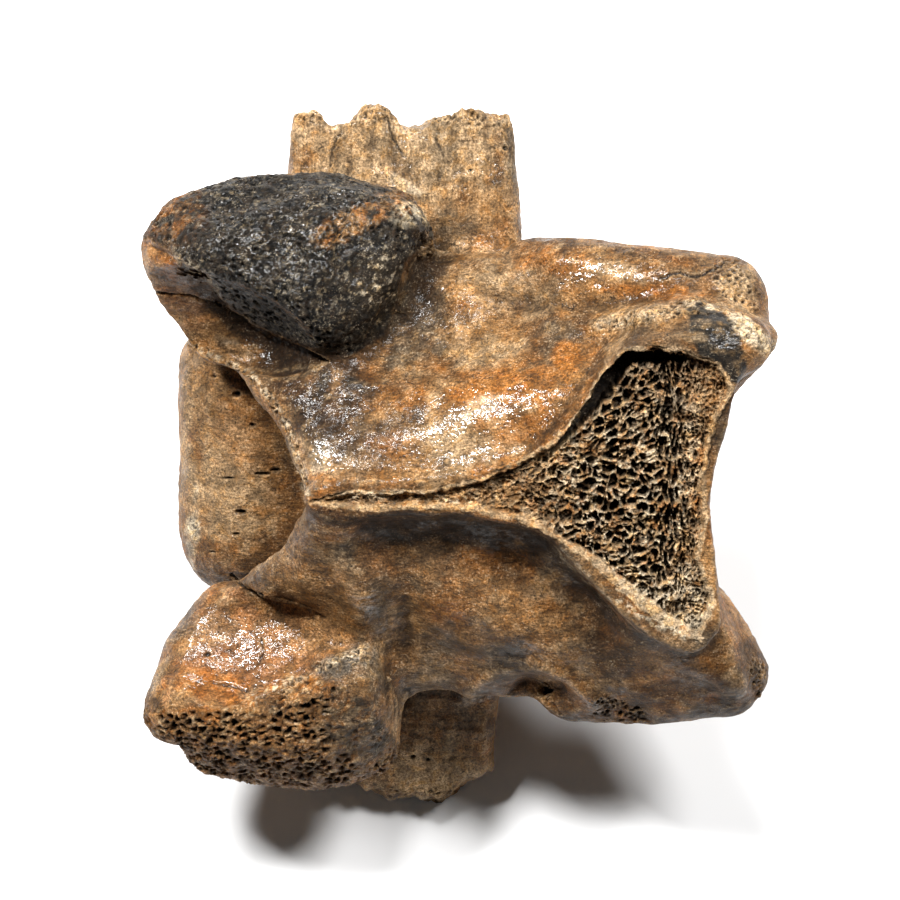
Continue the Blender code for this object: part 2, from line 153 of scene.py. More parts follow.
# Dirt and painted shade along the foot of edges and under crests, in the same pixels, each with
# its half width and strength.
DIRT_AND_SHADE_EDGES = [
    ([(520, 530), (552, 552), (580, 582), (608, 608)], 9, 0.85),
    ([(608, 612), (640, 636), (676, 654)], 9, 0.7),
    ([(320, 512), (400, 516), (480, 524), (540, 544)], 13, 0.55),
    ([(606, 346), (586, 378), (560, 418), (530, 452)], 5, 0.6),
    ([(160, 600), (150, 640), (147, 690), (158, 706)], 6, 0.7),
    ([(600, 702), (660, 722), (740, 712), (768, 690)], 7, 0.7),
    ([(232, 378), (262, 410), (284, 450), (296, 492)], 8, 0.5),
    ([(192, 276), (214, 300), (236, 322), (262, 340), (300, 354), (350, 362)], 13, 0.9),
    ([(264, 364), (300, 392), (320, 430)], 18, 0.75), ([(372, 356), (402, 330), (424, 290)], 13, 0.6),
    ([(520, 236), (600, 246), (700, 262)], 5, 0.5), ([(232, 582), (262, 578), (290, 600)], 6, 0.6),
    ([(412, 690), (470, 692), (520, 700)], 6, 0.6), ([(420, 232), (438, 258), (432, 300)], 12, 0.5),
]
# Worn granular bone: lines and their half widths in the same pixels.
WORN = [
    ([(600, 324), (640, 316), (690, 306), (724, 304), (752, 330), (768, 348)], 9),
    ([(728, 276), (744, 300)], 17), ([(602, 706), (636, 718)], 11), ([(756, 668), (768, 704)], 8),
    ([(190, 344), (250, 374), (268, 396), (290, 430), (300, 470), (306, 492)], 4),
    ([(176, 252), (206, 272)], 5), ([(300, 120), (360, 112), (450, 118), (510, 120)], 7),
    ([(322, 668), (362, 654)], 8), ([(392, 796), (470, 792)], 6),
]
# Edges with cream flecks, in the same pixels.
FLECKED_EDGES = [
    [(186, 342), (215, 356), (250, 374), (268, 396), (290, 430), (300, 470), (308, 498)],
    [(176, 254), (190, 268), (206, 273), (218, 290)],
    [(600, 326), (640, 318), (690, 308), (730, 312), (762, 336)],
    [(560, 552), (600, 590), (650, 622), (694, 640)], [(340, 496), (400, 494), (470, 502)],
    [(366, 648), (330, 664), (290, 680), (250, 698)],
]
# Parts of the black top, in the same pixels.
TOP_BROWN_END = ((168, 212), (40, 40))
TOP_BROWN_STRIP = [(325, 236), (370, 212), (415, 194)]
TOP_TIP = ((415, 214), (26, 15))
# The scuffed part of the black top; its cream specks are partly painted glints of the varnish.
TOP_SCUFFS_AND_GLINTS = ((385, 285), (42, 40))
TOP_SMOOTH = ((366, 292), (64, 64))
TOP_GROOVES_TURN_AT = 250
# Part of the left band where the bone is closed, in the same pixels.
HEEL = ((362, 722), (46, 50))


def colour(red, green, blue):
    """A colour of 0 to 255 as shown on a screen, as linear light."""
    shown = np.array((red, green, blue)) / 255
    return np.where(shown <= 0.04045, shown / 12.92, ((shown + 0.055) / 1.055) ** 2.4)


TAN = colour(156, 116, 72)
BROWN = colour(116, 82, 48)
DARK_BROWN = colour(52, 36, 21)
ORANGE = colour(158, 98, 36)
RED_BROWN = colour(150, 102, 64)
PALE = colour(184, 154, 116)
CREAM = colour(220, 202, 172)
GREY = colour(80, 70, 56)
BLUE_GREY = colour(104, 96, 84)
CHARCOAL = colour(40, 36, 30)
BLACK = colour(14, 12, 10)
# The studio light is strong, so every stain is laid darker by this share.
DARKENING = 0.78

# Stains, painted shade and painted highlights on the side that faces the camera: a colour, the
# middle and half widths in pixels, the turn in degrees and how strong it is.
STAINS_SHADE_AND_HIGHLIGHTS = [
    # right transverse process
    (PALE, (400, 160), (130, 70), 0, 0.7), (GREY, (514, 150), (14, 55), -8, 0.7),
    (DARK_BROWN, (338, 150), (8, 40), 15, 0.5), (DARK_BROWN, (396, 150), (9, 45), -20, 0.55),
    (GREY, (442, 150), (12, 40), 0, 0.4), (TAN, (480, 205), (45, 30), 0, 0.6),
    (CREAM, (405, 186), (22, 6), 25, 0.5),
    # saddle on the right side; its charcoal and grey in the valley are painted shade
    (GREY, (452, 222), (34, 16), 20, 0.6), (CHARCOAL, (425, 268), (34, 26), 60, 0.6),
    (GREY, (418, 320), (30, 44), 10, 0.6), (CHARCOAL, (400, 306), (24, 50), 28, 0.75),
    (PALE, (505, 285), (38, 34), 20, 0.4), (TAN, (480, 330), (50, 26), 0, 0.5),
    (GREY, (560, 330), (34, 12), 10, 0.5), (DARK_BROWN, (372, 378), (38, 22), 15, 0.55),
    (DARK_BROWN, (330, 420), (22, 40), -10, 0.5), (ORANGE, (410, 395), (26, 18), 30, 0.5),
    (CREAM, (320, 455), (10, 22), 0, 0.45),
    # right lamina; its pale and cream patches are partly painted highlights
    (ORANGE, (505, 385), (66, 26), -12, 0.75), (PALE, (490, 352), (46, 16), -10, 0.55),
    (ORANGE, (572, 358), (18, 14), 0, 0.8), (PALE, (470, 440), (56, 30), -8, 0.6),
    (ORANGE, (520, 428), (44, 14), -20, 0.6), (TAN, (400, 470), (46, 16), -5, 0.6),
    (CREAM, (480, 408), (24, 12), -25, 0.45), (ORANGE, (390, 445), (26, 14), 0, 0.35),
    (GREY, (500, 474), (40, 6), -12, 0.5),
    # right rear articular process; the pale patch at (610, 270) is a painted highlight
    (BROWN, (640, 275), (120, 34), 8, 0.6), (ORANGE, (560, 262), (40, 14), 8, 0.6),
    (ORANGE, (655, 292), (62, 9), 4, 0.8), (ORANGE, (690, 262), (24, 9), 10, 0.6),
    (PALE, (610, 270), (34, 14), 6, 0.5), (PALE, (738, 292), (24, 26), 20, 0.85),
    (PALE, (640, 318), (52, 12), -8, 0.7), (CREAM, (700, 306), (22, 7), 15, 0.7),
    (CREAM, (752, 336), (28, 12), 40, 0.8), (TAN, (752, 372), (22, 22), 0, 0.7),
    # right joint face and below it; the dark browns, charcoal and grey under the crest are painted shade
    (RED_BROWN, (190, 290), (50, 40), 40, 0.6), (DARK_BROWN, (240, 325), (30, 16), 35, 0.8),
    (DARK_BROWN, (185, 266), (30, 8), 40, 0.7), (ORANGE, (165, 262), (12, 10), 0, 0.6),
    (CREAM, (238, 350), (20, 7), 35, 0.6), (DARK_BROWN, (285, 385), (26, 34), -30, 0.7),
    (DARK_BROWN, (306, 420), (20, 40), -15, 0.6), (DARK_BROWN, (258, 334), (50, 15), 33, 0.9),
    (CHARCOAL, (306, 366), (52, 18), 24, 0.9), (CHARCOAL, (332, 400), (36, 34), 0, 0.5),
    (DARK_BROWN, (352, 430), (34, 30), 0, 0.45), (GREY, (416, 336), (28, 56), 15, 0.65),
    (TAN, (292, 440), (9, 40), -14, 0.6),
    # floor of the canal and the front of the body; the brown strip by the lamina's edge is painted
    # shadow
    (TAN, (225, 450), (60, 120), 0, 0.9), (PALE, (222, 480), (40, 80), 0, 0.65),
    (ORANGE, (240, 430), (30, 50), 0, 0.35), (CREAM, (194, 530), (9, 34), 0, 0.8),
    (PALE, (186, 420), (8, 60), 0, 0.5), (BROWN, (284, 500), (14, 50), 0, 0.5),
    # left lamina; the dark brown band and charcoal spot right under the broken spine are painted shadow
    (DARK_BROWN, (440, 530), (125, 17), 5, 0.8), (DARK_BROWN, (575, 590), (70, 16), 42, 0.55),
    (CHARCOAL, (347, 556), (15, 17), 0, 0.7), (TAN, (320, 600), (46, 40), 0, 0.55),
    (BROWN, (300, 545), (30, 26), 0, 0.5), (GREY, (378, 600), (14, 42), 5, 0.5),
    (BROWN, (480, 600), (80, 44), 10, 0.5), (ORANGE, (478, 560), (34, 12), 10, 0.5),
    (ORANGE, (450, 610), (26, 26), 0, 0.35), (TAN, (520, 612), (52, 24), 20, 0.6),
    (BLUE_GREY, (425, 672), (32, 60), 25, 0.6), (TAN, (408, 640), (22, 44), 10, 0.5),
    (PALE, (430, 690), (24, 40), 20, 0.4), (GREY, (375, 650), (20, 36), 0, 0.4),
    (GREY, (388, 700), (26, 36), -10, 0.6), (DARK_BROWN, (620, 660), (64, 34), 25, 0.5),
    (DARK_BROWN, (705, 690), (70, 34), 0, 0.65), (BROWN, (690, 680), (70, 26), 0, 0.45),
    (GREY, (700, 645), (44, 20), 30, 0.5), (TAN, (735, 625), (26, 22), 40, 0.5),
    (ORANGE, (714, 698), (8, 5), 0, 0.7), (DARK_BROWN, (520, 668), (44, 8), 0, 0.6),
    (BROWN, (560, 700), (52, 12), 5, 0.5), (TAN, (545, 688), (20, 8), 0, 0.7),
    (ORANGE, (622, 712), (16, 7), 10, 0.7), (CREAM, (772, 690), (8, 18), 0, 0.35),
    # left transverse process
    (TAN, (440, 760), (70, 60), 0, 0.9), (PALE, (430, 770), (60, 34), 0, 0.7),
    (GREY, (470, 720), (34, 22), 0, 0.35),
    # left joint face; its pale patch is a painted highlight, the dark brown spot in its notch painted
    # shade
    (RED_BROWN, (245, 650), (92, 62), 0, 0.85), (TAN, (300, 625), (46, 30), 20, 0.5),
    (ORANGE, (215, 684), (54, 14), 5, 0.65), (PALE, (218, 632), (30, 20), 0, 0.35),
    (GREY, (180, 625), (16, 34), 35, 0.6), (DARK_BROWN, (268, 572), (14, 12), 0, 0.6),
    (TAN, (285, 590), (40, 16), 20, 0.4), (ORANGE, (262, 700), (56, 11), -22, 0.8),
    (ORANGE, (200, 712), (40, 6), 0, 0.7), (BLUE_GREY, (345, 664), (32, 13), -18, 0.85),
    (TAN, (345, 620), (30, 20), 0, 0.4),
]
# Where the varnish is thick, in the same pixels: middle and half widths.
VARNISH = [
    ((490, 400), (70, 34)), ((320, 460), (20, 26)), ((612, 275), (60, 24)), ((225, 645), (60, 36)),
    ((362, 600), (16, 20)), ((270, 240), (110, 60)), ((470, 440), (60, 26)), ((228, 684), (50, 12)),
    ((350, 200), (60, 20)), ((520, 600), (60, 30)),
]

# The bare bone's gloss, and the varnish.
BONE_GLOSS = 0.14
VARNISH_ROUGHNESS = 0.12
VARNISH_IOR = 1.65

# How much of the bone's own y and z shows as height in the picture.
SHOWN_Y = 0.978
SHOWN_Z = 0.208

# Softboxes: the name, the place and the side in metres, and the power in watts.
SOFTBOXES = [
    ("left_softbox", (-0.47, 0.38, 0.91), 0.16, 17.5),
    ("right_softbox", (0.42, 0.36, 0.92), 0.24, 12.5),
    ("top_softbox", (-0.05, 0.5, 1.0), 0.18, 7),
]
LIGHT_TARGET = (0, 0, 0.04)
SURROUND_LIGHT = 0.05
FLOOR_TONE = 0.95
FLOOR_ROUGHNESS = 0.8
FLOOR_HALF_SIDE = 3


def own_from_frame(points):
    """The bone's own millimetres from the frame's metres."""
    x, y, z = (points / MM - ORIGIN).T
    c, s = math.cos(ROLL), math.sin(ROLL)
    return np.column_stack((x, c * y + s * z, c * z - s * y))


def frame_from_own(points):
    x, y, z = points.T
    c, s = math.cos(ROLL), math.sin(ROLL)
    return (np.column_stack((x, c * y - s * z, s * y + c * z)) + ORIGIN) * MM


def camera_axes():
    """Right, up and back of the camera, in the frame."""
    c, s = math.cos(CAMERA_ELEVATION), math.sin(CAMERA_ELEVATION)
    return np.array((1, 0, 0)), np.array((0, s, c)), np.array((0, -c, s))


def camera_place():
    right, up, back = camera_axes()
    return (ORIGIN + right * CAMERA_ASIDE + up * CAMERA_UP) * MM + back * CAMERA_DISTANCE


def pixels_of(points):
    """Where points of the frame lie in the camera's picture, in pixels from its top left."""
    right, up, back = camera_axes()
    seen = points - camera_place()
    scale = CAMERA_LENS / CAMERA_SENSOR * FRAME_PIXELS / -(seen @ back)
    middle = FRAME_PIXELS / 2
    return np.column_stack((middle + seen @ right * scale, middle - seen @ up * scale))


def ramp(values, low, high):
    """0 below low and 1 above high, with a smooth change between them."""
    share = np.clip((values - low) / (high - low), 0, 1)
    return share * share * (3 - 2 * share)


def along_segment(start, end, points):
    """How far along a segment each point is, from 0 to 1, and its distance from it."""
    (x0, y0), (x1, y1) = start, end
    x, y = points.T
    along = ((x - x0) * (x1 - x0) + (y - y0) * (y1 - y0)) / ((x1 - x0) ** 2 + (y1 - y0) ** 2)
    along = np.clip(along, 0, 1)
    return along, np.hypot(x - x0 - along * (x1 - x0), y - y0 - along * (y1 - y0))


def inside_by(outline, points):
    """How far points lie inside a closed outline in the plane; negative outside it."""
    x, y = points.T
    inside = np.zeros(len(points), bool)
    nearest = np.full(len(points), np.inf)
    for (x0, y0), (x1, y1) in zip(outline, outline[1:] + outline[:1]):
        if y0 != y1:
            inside ^= ((y0 > y) != (y1 > y)) & (x < x0 + (x1 - x0) * (y - y0) / (y1 - y0))
        nearest = np.minimum(nearest, along_segment((x0, y0), (x1, y1), points)[1])
    return np.where(inside, nearest, -nearest)


def across_line(line, points):
    """Distance from a line of (x, y, half width), over its half width there."""
    least = np.full(len(points), np.inf)
    for (x0, y0, w0), (x1, y1, w1) in zip(line, line[1:]):
        along, away = along_segment((x0, y0), (x1, y1), points)
        least = np.minimum(least, away / (w0 + along * (w1 - w0)))
    return least


def away_from(line, points):
    """Distance from a line of points, or from a single point."""
    if len(line) == 1:
        return np.hypot(*(points - line[0]).T)
    return across_line([(x, y, 1) for x, y in line], points)


def along_lines(lines, points, low, high):
    """1 on any of these lines, falling to 0 between low and high half widths."""
    share = np.zeros(len(points))
    for line, half_width in lines:
        share = np.maximum(share, 1 - ramp(away_from(line, points), low * half_width, high * half_width))
    return share


def in_patch(patch, points, low, high):
    """1 in the middle of an oval patch, falling to 0 between low and high half widths."""
    middle, half_widths = patch
    return 1 - ramp(np.hypot(*((points - middle) / half_widths).T), low, high)


def lumps(points, size, octaves=3):
    """Noise of about -1 to 1 with a grain of size mm; size may differ by axis."""
    return np.array([noise.fractal(point, 0.7, 2.0, octaves) for point in (points / size).tolist()])


def cell_walls(points, size):
    """0 on the walls between irregular cells of about size mm, rising to about 1 in their middles."""
    gaps = np.empty(len(points))
    for index, point in enumerate((points / size).tolist()):
        near = noise.voronoi(point)[0]
        gaps[index] = near[1] - near[0]
    return gaps


def new_object(name, data):
    obj = bpy.data.objects.new(name, data)
    bpy.context.scene.collection.objects.link(obj)
    return obj


def apply_modifiers(obj):
    bpy.context.view_layer.update()
    graph = bpy.context.evaluated_depsgraph_get()
    mesh = bpy.data.meshes.new_from_object(obj.evaluated_get(graph))
    obj.modifiers.clear()
    obj.data = mesh


def fine_copy(node):
    """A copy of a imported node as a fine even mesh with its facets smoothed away."""
    obj = new_object("fine_bone", node.data.copy())
    fuse = obj.modifiers.new("even", "REMESH")
    fuse.mode = "VOXEL"
    fuse.voxel_size = VOXEL * MM
    soften = obj.modifiers.new("soften", "SMOOTH")
    soften.factor = 0.5
    soften.iterations = SMOOTHINGS
    apply_modifiers(obj)
    return obj


def vertex_values(mesh, name):
    """The points' own places ("co") or normals ("normal")."""
    values = np.empty(len(mesh.vertices) * 3)
    mesh.vertices.foreach_get(name, values)
    return values.reshape(-1, 3)


def face_middles(mesh):
    """The faces' middles and normals."""
    middles = np.empty(len(mesh.polygons) * 3)
    mesh.polygons.foreach_get("center", middles)
    normals = np.empty(len(mesh.polygons) * 3)
    mesh.polygons.foreach_get("normal", normals)
    return middles.reshape(-1, 3), normals.reshape(-1, 3)


def faces_up(normals):
    """1 where a normal points at the camera, and -1 where it points away."""
    return normals @ camera_axes()[2]


def on_break(own, reach):
    """True where a point is on the spine's broken face or within reach of it."""
    rim = np.interp(own[:, 0], *zip(*BREAK_HEIGHTS))
    near = inside_by(BREAK_OUTLINE, own[:, :2]) > -reach
    return near & (own[:, 2] > rim - 9) & (own[:, 2] < rim + 4)


def is_right_top(own, up):
    return (up > 0.1) & (own[:, 1] > 20) & (own[:, 2] > 2)


def is_left_band(own, up):
    return (up > -0.2) & (own[:, 1] < -20) & (own[:, 2] > -6)


def near_marks(pixels):
    """True near a crack, a worn edge or a small hole."""
    near = np.zeros(len(pixels), bool)
    for line, half_width in CRACKS:
        near |= away_from(line, pixels) < 5 + PIXELS_PER_MM * half_width
    for line, half_width in WORN:
        near |= away_from(line, pixels) < half_width + 5
    for middle, half_widths, depth in HOLES:
        near |= np.hypot(*((pixels - middle) / (np.array(half_widths) + 4)).T) < 1
    return near


def refine(obj):
    """Cuts the faces of the rough areas into smaller ones."""
    mesh = obj.data
    middles, normals = face_middles(mesh)
    own = own_from_frame(middles)
    pixels = pixels_of(middles)
    up = faces_up(normals)
    spongy = on_break(own, 1.5)
    pitted = (inside_by(RIGHT_TOP, pixels) > -14) & is_right_top(own, up)
    pitted |= (inside_by(LEFT_BAND, pixels) > -8) & is_left_band(own, up)
    marked = near_marks(pixels) & (up > 0.2)
    form = bmesh.new()
    form.from_mesh(mesh)
    form.faces.ensure_lookup_table()
    spongy_edges = {edge for index in np.flatnonzero(spongy) for edge in form.faces[index].edges}
    other_edges = {edge for index in np.flatnonzero(pitted | marked) for edge in form.faces[index].edges}
    other_edges = [edge for edge in form.edges if edge in other_edges and edge not in spongy_edges]
    spongy_edges = [edge for edge in form.edges if edge in spongy_edges]
    bmesh.ops.subdivide_edges(form, edges=spongy_edges, cuts=SPONGY_CUTS, use_grid_fill=True)
    other_edges = [edge for edge in other_edges if edge.is_valid]
    bmesh.ops.subdivide_edges(form, edges=other_edges, cuts=PITTED_CUTS, use_grid_fill=True)
    form.to_mesh(mesh)
    form.free()


def spread(count, chosen, values):
    """Values of the chosen points, with 0 at all the others."""
    whole = np.zeros(count)
    whole[chosen] = values
    return whole


class Surface:
    """The fine mesh's points and normals, in the frame and in the bone's own axes."""

    def __init__(self, mesh):
        self.mesh = mesh
        self.read()

    def read(self):
        self.points = vertex_values(self.mesh, "co")
        self.normals = vertex_values(self.mesh, "normal")
        self.own = own_from_frame(self.points)
        c, s = math.cos(ROLL), math.sin(ROLL)
        x, y, z = self.normals.T
        self.own_normals = np.column_stack((x, c * y + s * z, c * z - s * y))
        self.pixels = pixels_of(self.points)
        self.up = faces_up(self.normals)

    def move(self, own):
        """Puts the mesh's points at these places, never under the floor."""
        points = frame_from_own(own)
        points[:, 2] = np.maximum(points[:, 2], 0)
        self.mesh.vertices.foreach_set("co", points.reshape(-1))
        self.mesh.update()
        self.read()

    def raise_by(self, height):
        self.move(self.own + self.own_normals * height[:, None])


class Patch:
    """Some points of a surface, in the bone's own axes and in pixels."""

    def __init__(self, surface, chosen):
        self.own = surface.own[chosen]
        self.pixels = surface.pixels[chosen]


def end_place(end, pixels_x, z):
    """Own y of a broken end at a pixel column, for points at height z."""
    rows = np.interp(pixels_x, *zip(*end))
    y = np.zeros(len(rows))
    for _ in range(4):
        shrink = CAMERA_DISTANCE / (CAMERA_DISTANCE - MM * (SHOWN_Y * z + SHOWN_Z * y))
        height = (FRAME_PIXELS / 2 - rows) / (PIXELS_PER_MM * shrink) + CAMERA_UP
        y = (height + SHOWN_Z * z) / SHOWN_Y
    return y


def shape_ends(surface):
    """Gives the broken transverse processes their own ragged ends."""
    own = surface.own.copy()
    for side, end in ((1, RIGHT_END), (-1, LEFT_END)):
        tip = np.flatnonzero((side * own[:, 1] > 50) & (own[:, 2] < 0))
        if not len(tip):
            continue
        points = own[tip]
        columns = np.round(points[:, 0]).astype(int)
        reach = {column: np.max(side * points[columns == column, 1]) for column in np.unique(columns)}
        known = sorted(reach)
        now = np.interp(points[:, 0], known, [reach[column] for column in known])
        wanted = side * end_place(end, surface.pixels[tip, 0], points[:, 2])
        wanted += 0.5 * lumps(points * np.array((1, 0, 1)), 2.5)
        share = np.clip((side * points[:, 1] - 50) / (now - 50), 0, 1) ** 2
        own[tip, 1] += side * share * np.clip(wanted - now, -4, 3)
    surface.move(own)


def weather(surface):
    """Low lumps over the whole bone, and grooves along the transverse processes."""
    own = surface.own
    height = 0.4 * lumps(own, 13) + 0.16 * lumps(own + 40, np.array((4.5, 2.5, 2.5)))
    height += 0.1 * lumps(own + 60, np.array((2.4, 1.5, 1.5)), 2)
    process = ramp(np.abs(own[:, 1]), 46, 58) * (own[:, 2] < 2)
    height += process * 0.55 * lumps(own + 20, np.array((3.2, 26, 5)), 2)
    surface.raise_by(height)


def neighbour_middles(mesh, values, rounds):
    """Each point's values averaged over its neighbours, this many times over."""
    ends = np.empty(len(mesh.edges) * 2, np.int32)
    mesh.edges.foreach_get("vertices", ends)
    first, second = ends.reshape(-1, 2).T
    count = np.bincount(ends, minlength=len(values)).astype(float)
    for _ in range(rounds):
        total = np.zeros_like(values)
        for axis in range(3):
            total[:, axis] = np.bincount(first, values[second, axis], len(values))
            total[:, axis] += np.bincount(second, values[first, axis], len(values))
        values = total / count[:, None]
    return values


def blend_creases(surface):
    """Smooths the creases of BLENDS away."""
    shown = ramp(surface.up, -0.3, 0.2)
    share = (along_lines(BLENDS, surface.pixels, 0.5, 1.4) * shown)[:, None]
    smooth = neighbour_middles(surface.mesh, surface.own, SMOOTH_ROUNDS)
    surface.move(surface.own * (1 - share) + smooth * share)


def shape_forms(surface):
    """Raises the low ridges and sinks the hollows of the side that faces the camera."""
    shown = ramp(surface.up, 0.05, 0.35)
    uneven = 1 + 0.25 * lumps(surface.own + 12, 6)
    height = np.zeros(len(shown))
    for line, half_width, rise in FORMS:
        height += rise * np.exp(-((away_from(line, surface.pixels) * uneven / half_width) ** 2))
    surface.raise_by(height * shown)


def undercut(surface):
    """Sharpens the crest over the right joint face."""
    own = surface.own
    crest = inside_by(RIGHT_TOP, surface.pixels) + 2.5 * lumps(own, 3)
    facet = (inside_by(FRONT_FACET, surface.pixels) > 0) & is_right_top(own, surface.up)
    most = 1.2 + 3.4 * ramp(surface.pixels[:, 0], 190, 240)
    drop = np.where(facet, most * ramp(-crest, 0, 5) * np.exp(-np.maximum(-crest, 0) / 24), 0)
    moved = own.copy()
    moved[:, 2] -= drop
    surface.move(moved)


def carve_spine_break(surface):
    """The spongy face where the spinous process broke off, as cells inside a thin raised rim.

    Returns, from 0 to 1, how deep each point lies in a cell, how much of it is pale rim, and how
    much of it is broken face."""
    own = surface.own
    chosen = np.flatnonzero(on_break(own, 0.6) & (surface.own_normals[:, 2] > 0.05))
    points = own[chosen]
    flat = points[:, :2]
    level = np.column_stack((flat, np.zeros(len(flat))))
    inner = inside_by(BREAK_OUTLINE, flat) + 0.5 * lumps(level, 2.2)
    rim = np.interp(points[:, 0], *zip(*BREAK_HEIGHTS)) + 0.8 * lumps(level, 6)
    bend = 1.5 * lumps(level + 7, 4)
    narrow = points[:, 0] + 0.6 * np.maximum(points[:, 0] - 37, 0)
    slant = np.column_stack((narrow + bend, points[:, 1] + 0.4 * bend, 0.4 * points[:, 0]))
    wide = cell_walls(slant, 2.1)
    tall = cell_walls(slant * np.array((1.25, 0.6, 1)), 2.1)
    x, y, z = slant.T
    leaning = cell_walls(np.column_stack((0.55 * x + 0.4 * y, y - 0.7 * x, z)), 2.0)
    rear = ramp(points[:, 0] + lumps(level + 91, 6), 37, 41)
    upper = ramp(points[:, 1] + 2 * lumps(level + 92, 6), 9, 15) * (1 - rear)
    wide = wide * (1 - rear) * (1 - upper) + tall * rear + leaning * upper
    small = cell_walls(slant + 31, 1.05)
    solid = ramp(lumps(level + 70, 6), 0.05, 0.4)
    wall = 0.04 + 0.05 * lumps(level + 3, 4) + 0.1 * solid
    hole = ramp(wide, wall, wall + 0.2)
    fine = ramp(small, 0.05, 0.3)
    broad = 1 - 0.5 * ramp(np.abs(points[:, 0] - 33), 6, 15)
    broad *= 0.3 + 0.7 * ramp(points[:, 0], 4, 22)
    dense = ramp(points[:, 0], 39, 46) * ramp(lumps(level + 41, 3), -0.7, 0.2)
    hole *= (1 - 0.7 * dense) * (1 - 0.45 * ramp(-points[:, 1], 9, 17))
    depth = 2.6 * hole * broad * (1 - 0.6 * solid) + (0.3 + 0.8 * broad) * fine + 0.5
    floor = 0.6 + 1.0 * lumps(level + 13, 6)
    gap = 1 - ramp(across_line(GAP, flat) + 0.3 * lumps(level, 1.5), 0.7, 1.15)
    pale = 1 - ramp(across_line(PALE_RIM, flat) + 0.3 * lumps(level + 5, 2), 0.8, 1.3)
    sunk = ramp(inner, 0.45, 1.3) * (1 - pale)
    gap *= ramp(inner, 0.1, 0.6)
    drop = sunk * (depth + floor) * (1 - gap) + gap * GAP_DEPTH + 0.5 * pale * ramp(inner, 0.5, 3)
    share = ramp(inner, -0.25, 0.05)
    moved = own.copy()
    moved[chosen, 2] += share * (rim - drop - points[:, 2])
    surface.move(moved)
    deep = np.clip(sunk * (0.75 * hole * (0.3 + 0.7 * broad) + 0.25 * fine * broad) + gap, 0, 1)
    edge = share * np.maximum(1 - ramp(inner, 0.5, 1.4), pale)
    return [spread(len(own), chosen, values) for values in (deep, edge, share)]


def grooves_along(points, run_x, run_y):
    """Walls of narrow cells that run along (run_x, run_y) in the bone's own plan."""
    along = points[:, 0] * run_x + points[:, 1] * run_y
    beside = points[:, 1] * run_x - points[:, 0] * run_y
    bend = 0.3 * lumps(points, 2.2)
    return cell_walls(np.column_stack((along / 1.9, beside / 0.85 + bend, points[:, 2] / 1.3)), 1.0)


def pit_top(surface, share):
    """Slanting grooves in the black top: the rise and how deep each point lies in a groove."""
    points = surface.own
    pixels = surface.pixels
    turn = ramp(pixels[:, 1] + 8 * lumps(points, 6), TOP_GROOVES_TURN_AT - 14, TOP_GROOVES_TURN_AT + 14)
    upper = grooves_along(points, 0.9, 0.42)
    lower = grooves_along(points, 0.72, -0.69)
    grooves = upper * (1 - turn) + lower * turn
    smooth = in_patch(TOP_SMOOTH, pixels, 0.55, 1.1)
    smooth = np.maximum(smooth, 0.85 * ramp(pixels[:, 0], 280, 320) * (1 - ramp(pixels[:, 1], 186, 196)))
    open_part = ramp(lumps(points + 5, 5), -0.6, 0.0) * (1 - 0.9 * smooth)
    hollow = ramp(grooves, 0.2, 0.6) * open_part * share
    rise = share * (0.22 * lumps(points + 9, 2.6, 4) + 0.25) - 1.0 * hollow
    return rise, hollow


def pit_band(surface, share):
    """Open cells of the left band: the rise and how deep each point lies in a cell."""
    points = surface.own
    bend = 0.4 * lumps(points, 2)[:, None]
    holes = ramp(cell_walls(points + bend, 1.8), 0.16, 0.42)
    small = ramp(cell_walls(points + 17, 0.95), 0.12, 0.4)
    open_part = 0.2 + 0.8 * ramp(lumps(points + 31, 5), -0.35, 0.1)
    open_part *= 1 - 0.85 * in_patch(HEEL, surface.pixels, 0.6, 1.2)
    rise = 0.35 * lumps(points + 3, 3.4) + 0.5 - open_part * (1.7 * holes + 0.35 * small)
    return share * rise, share * np.clip(open_part * (1.1 * holes + 0.3 * small), 0, 1)


def wear(surface):
    """Grains and small pits of the worn edges. Returns how deep each point lies in one."""
    own = surface.own
    share = along_lines(WORN, surface.pixels, 0.6, 1.3) * ramp(surface.up, 0.0, 0.3)
    chosen = np.flatnonzero(share > 0.01)
    points = own[chosen]
    holes = ramp(cell_walls(points + 0.3 * lumps(points, 1.5)[:, None], 1.25), 0.18, 0.5)
    holes *= ramp(lumps(points + 19, 3), -0.5, 0.1)
    height = share[chosen] * (0.3 * lumps(points + 3, 2.0) - 0.75 * holes + 0.15)
    surface.raise_by(spread(len(own), chosen, height))
    return spread(len(own), chosen, share[chosen] * holes)


def pit(surface):
    """Grooves and cells in the two bare patches of the front articular processes.

    Returns how much of each point is the right or the left patch, and how deep it lies in a pit."""
    own = surface.own
    right = ramp(inside_by(RIGHT_TOP, surface.pixels) + 2 * lumps(own, 3), -2, 3)
    right *= ramp(surface.up, 0.1, 0.35) * is_right_top(own, surface.up)
    left = ramp(inside_by(LEFT_BAND, surface.pixels) + 4 * lumps(own, 4), -3, 6)
    left *= ramp(surface.up, -0.1, 0.2) * is_left_band(own, surface.up)
    height = np.zeros(len(own))
    deep = np.zeros(len(own))
    for share, shape in ((right, pit_top), (left, pit_band)):
        chosen = np.flatnonzero(share > 0.01)
        part = Patch(surface, chosen)
        rise, hollow = shape(part, share[chosen])
        height[chosen] += rise
        deep[chosen] = np.maximum(deep[chosen], hollow)
    surface.raise_by(height)
    return right, left, deep


